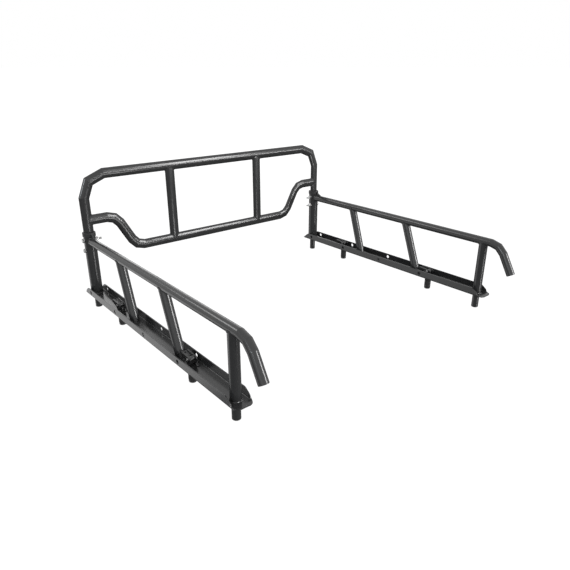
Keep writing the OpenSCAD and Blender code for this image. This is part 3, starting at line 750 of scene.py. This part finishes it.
for side, k in SIDES.items():
    for end, back in anchor_back.items():
        anchor = f"{side}_{end}"
        spot = Vector((k * rail_x, front_y - back, 0))
        pin_low, pin_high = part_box(anchor + "_cross_pin")
        pin_z = (pin_low.z + pin_high.z) / 2

        bm = bmesh.new()
        plate = bmesh.ops.create_grid(bm, x_segments=1, y_segments=1, size=0.5)["verts"]
        bmesh.ops.scale(bm, vec=(seat_wide, seat_long, 1), verts=plate)
        bmesh.ops.translate(bm, vec=spot + Z * (floor_top + seat_thick), verts=plate)
        bmesh.ops.bevel(bm, geom=plate, offset=seat_corner, segments=5, profile=0.5, affect="VERTICES",
                        material=-1)
        bmesh.ops.recalc_face_normals(bm, faces=bm.faces)
        for face in bm.faces:
            if face.normal.z < 0:
                face.normal_flip()
        punch(bm, spot + Z * (floor_top + seat_thick), Z, rod_hole, seat_cell, 24)
        bmesh.ops.solidify(bm, geom=bm.faces[:], thickness=seat_thick)
        soften(bm, plate_round)
        for x in (-1, 1):
            lay_weld(bm, [spot + Vector((x * seat_wide / 2, y, floor_top + 0.0012)) for y in (-0.014, 0.014)],
                     0.0021, False, seed=11)
        hand_over(bm, anchor + "_welded_seat", "frame", "powder_coat", charcoal, anchor + "_seat_plate")

        low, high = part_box(anchor + "_expander_cap")
        radius, tall = (high.x - low.x) / 2, high.z - low.z
        bm = bmesh.new()
        lathe(bm, [(0, 0.0012), (0.0052, 0.0012), (0.0060, 0), (radius - 0.0024, 0),
                   (radius - 0.0014, 0.0005), (radius - 0.0004, 0.0016), (radius, 0.0028),
                   (radius, tall - 0.0007), (radius - 0.0007, tall), (0, tall)],
              Matrix.Translation(spot + Z * low.z))
        hand_over(bm, anchor + "_turned_expander", anchor + "_rod", "powder_coat", charcoal,
                  anchor + "_expander_cap")

        low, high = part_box(anchor + "_rubber_sleeve")
        radius, tall = (high.x - low.x) / 2, high.z - low.z
        wave = [(0.0004, 0), (0.0001, 0.0003), (0, 0.0009)]
        for at in (0.25, 0.5, 0.75):
            wave += [(0, tall * at - 0.0022), (0.0003, tall * at - 0.0012), (0.0007, tall * at),
                     (0.0003, tall * at + 0.0012), (0, tall * at + 0.0022)]
        wave += [(0, tall - 0.0009), (0.0001, tall - 0.0003), (0.0004, tall)]
        bm = bmesh.new()
        skin = [(radius - dent, at) for dent, at in wave]
        lathe(bm, [(sleeve_bore, 0)] + skin + [(sleeve_bore, tall), (sleeve_bore, 0)],
              Matrix.Translation(spot + Z * low.z))
        sleeve = hand_over(bm, anchor + "_grip_sleeve", None, "black_rubber", rubber_skin,
                           anchor + "_rubber_sleeve")
        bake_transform(sleeve)

        low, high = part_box(anchor + "_draw_rod")
        eye_half = (high.x - low.x) / 2
        bm = bmesh.new()
        lathe(bm, [(0, low.z), (rod_radius, low.z), (rod_radius, pin_z - 0.004), (0, pin_z - 0.004)],
              Matrix.Translation(spot), 32)
        across = Matrix.Translation(spot + Z * pin_z) @ Matrix.Rotation(math.pi / 2, 4, "Y")
        bore = pin_radius + pin_gap
        lathe(bm, [(bore, -eye_half), (eye_radius - 0.0008, -eye_half), (eye_radius, -eye_half + 0.0008),
                   (eye_radius, eye_half - 0.0008), (eye_radius - 0.0008, eye_half), (bore, eye_half),
                   (bore, -eye_half)], across, 48)
        hand_over(bm, anchor + "_eye_rod", anchor + "_rod", "lever_coat", lever_black, anchor + "_draw_rod")

        half, head = pin_long / 2, pin_radius + pin_rim
        bm = bmesh.new()
        lathe(bm, [(0, -half), (head - 0.0009, -half), (head, -half + 0.0006), (head, -half + 0.0017),
                   (head - 0.0003, -half + 0.002), (pin_radius, -half + 0.002), (pin_radius, half - 0.002),
                   (head - 0.0003, half - 0.002), (head, half - 0.0017), (head, half - 0.0006),
                   (head - 0.0009, half), (0, half)], across, 32)
        hand_over(bm, anchor + "_headed_pin", anchor + "_rod", "zinc", plated, anchor + "_cross_pin")

        rise, slope = [], -cam_travel / (math.pi / 2)
        for n in range(13):
            turn = math.pi / 2 * n / 12
            drop = cam_drop + slope * turn
            rise.append((-drop * math.sin(turn) - slope * math.cos(turn),
                         -drop * math.cos(turn) + slope * math.sin(turn)))
        nose = Vector((lever_long * math.cos(lever_rise), lever_long * math.sin(lever_rise)))
        outline = rise + [(-cam_drop + cam_travel, 0.004), (-0.010, 0.009), (0, 0.010),
                          (nose.x - 0.006, nose.y + 0.005), tuple(nose), (nose.x - 0.003, nose.y - 0.007),
                          (0.015, -0.009), (0.009, -cam_drop + 0.002), (0.007, -cam_drop)]
        bm = bmesh.new()
        for x in (-lever_wide / 2, lever_wide / 2 - lever_sheet):
            before = set(bm.verts)
            cheek = bm.faces.new([bm.verts.new(spot + Vector((x, y, pin_z + z))) for y, z in outline])
            bm.normal_update()
            punch(bm, spot + Vector((x, 0, pin_z)), cheek.normal.copy(), pin_radius + 2 * pin_gap, 0.0062, 24)
            faces = [face for face in bm.faces if not set(face.verts) & before]
            bmesh.ops.translate(bm, vec=(lever_sheet, 0, 0), verts=grow_sheet(bm, faces))
        tilt = Matrix.Translation(spot + Z * pin_z) @ Matrix.Rotation(lever_rise, 4, "X")
        web = bmesh.ops.create_grid(bm, x_segments=1, y_segments=1, size=0.5)["verts"]
        bmesh.ops.scale(bm, vec=(lever_wide - 2 * lever_sheet + 0.002, web_long, 1), verts=web)
        bmesh.ops.translate(bm, vec=(0, web_middle, web_up), verts=web)
        bm.normal_update()
        punch(bm, Vector((0, web_hole_at, web_up)), Z, web_hole, 0.006, 24)
        web = [vert for vert in bm.verts if abs(vert.co.z - web_up) < 1e-6 and abs(vert.co.x) < lever_wide]
        under = grow_sheet(bm, list({face for vert in web for face in vert.link_faces}))
        bmesh.ops.translate(bm, vec=(0, 0, -lever_sheet), verts=under)
        bmesh.ops.transform(bm, matrix=tilt, verts=web + under)
        bmesh.ops.recalc_face_normals(bm, faces=bm.faces)
        soften(bm, plate_round)
        hand_over(bm, anchor + "_pressed_lever", anchor + "_lever", "lever_coat", lever_black,
                  anchor + "_cam_lever")

# --- Studio ---
# A plain white floor that only the camera sees, lit by itself, and a pale surround. Windows behind and to the
# left draw the thin bright lines along the tubes, and panels in front and below fill the far faces. The
# camera stands above the left side frame's tail.
floor_half_size, far, aim = 900, 7, Vector((0, 0, 0.35))
floor = bpy.data.meshes.new("studio_floor")
bm = bmesh.new()
bmesh.ops.create_grid(bm, x_segments=1, y_segments=1, size=floor_half_size)
bm.to_mesh(floor)
bm.free()
floor = bpy.data.objects.new("studio_floor", floor)
bpy.context.scene.collection.objects.link(floor)
floor.visible_diffuse = floor.visible_glossy = floor.visible_shadow = False
paper = Finish("studio_paper")
floor.data.materials.append(paper.surface(
    paper.grain(3), 0.00001, Base_Color=(0.06, 0.06, 0.06, 1), Roughness=0.9,
    Emission_Color=(1, 1, 1, 1), Emission_Strength=0.97))

world = bpy.data.worlds.new("surround")
world.use_nodes = True
bpy.context.scene.world = world
nodes, links = world.node_tree.nodes, world.node_tree.links
height = nodes.new("ShaderNodeSeparateXYZ")
links.new(nodes.new("ShaderNodeTexCoord").outputs["Generated"], height.inputs[0])
ramp = nodes.new("ShaderNodeValToRGB")
spread = nodes.new("ShaderNodeMapRange")
spread.inputs["From Min"].default_value, spread.inputs["From Max"].default_value = -1, 1
links.new(height.outputs["Z"], spread.inputs["Value"])
links.new(spread.outputs[0], ramp.inputs[0])
stops = [(0, 0.2), (0.42, 0.26), (0.5, 1.0)]
ramp.color_ramp.elements.new(0.45)
for stop, (at, shade) in zip(ramp.color_ramp.elements, stops):
    stop.position, stop.color = at, (shade, shade, shade, 1)
links.new(ramp.outputs[0], nodes["Background"].inputs["Color"])
nodes["Background"].inputs["Strength"].default_value = 1.0


def strip_light(name, azimuth, elevation, wide, tall, power, colour=(1, 1, 1)):
    """Hangs a panel far out. Its direction and its size are angles in degrees, as seen from the rack."""
    around, up = math.radians(azimuth), math.radians(elevation)
    toward = Vector((math.cos(around) * math.cos(up), math.sin(around) * math.cos(up), math.sin(up)))
    data = bpy.data.lights.new(name, "AREA")
    data.shape, data.energy, data.color = "RECTANGLE", power, colour
    data.size, data.size_y = (2 * far * math.tan(math.radians(angle) / 2) for angle in (wide, tall))
    light = bpy.data.objects.new(name, data)
    light.location = aim + toward * far
    light.rotation_euler = toward.to_track_quat("Z", "Y").to_euler()
    light.visible_camera = False
    bpy.context.scene.collection.objects.link(light)


strip_light("low_window", -58, -1, 34, 3, 120)
strip_light("tall_window", -58, 14, 12, 17, 200)
strip_light("foot_window", -71, -20, 7, 8, 30)
strip_light("side_window", -152, 18, 20, 7, 90, (0.88, 0.95, 1))
strip_light("front_panel", 62, 13, 36, 18, 45)
strip_light("right_panel", 130, 34, 24, 14, 70)
strip_light("low_fill", 128, -22, 50, 26, 60)

camera = bpy.data.objects.new("camera", bpy.data.cameras.new("camera"))
camera.data.lens, camera.data.sensor_width = 33.60, 36
camera.location = (-1.42095, front_y - 2.25624, 1.01065)
camera.rotation_euler = (math.radians(90 - 22.222), 0, math.radians(-39.594))
bpy.context.scene.collection.objects.link(camera)
bpy.context.scene.camera = camera
bpy.context.scene.view_settings.view_transform = "Standard"
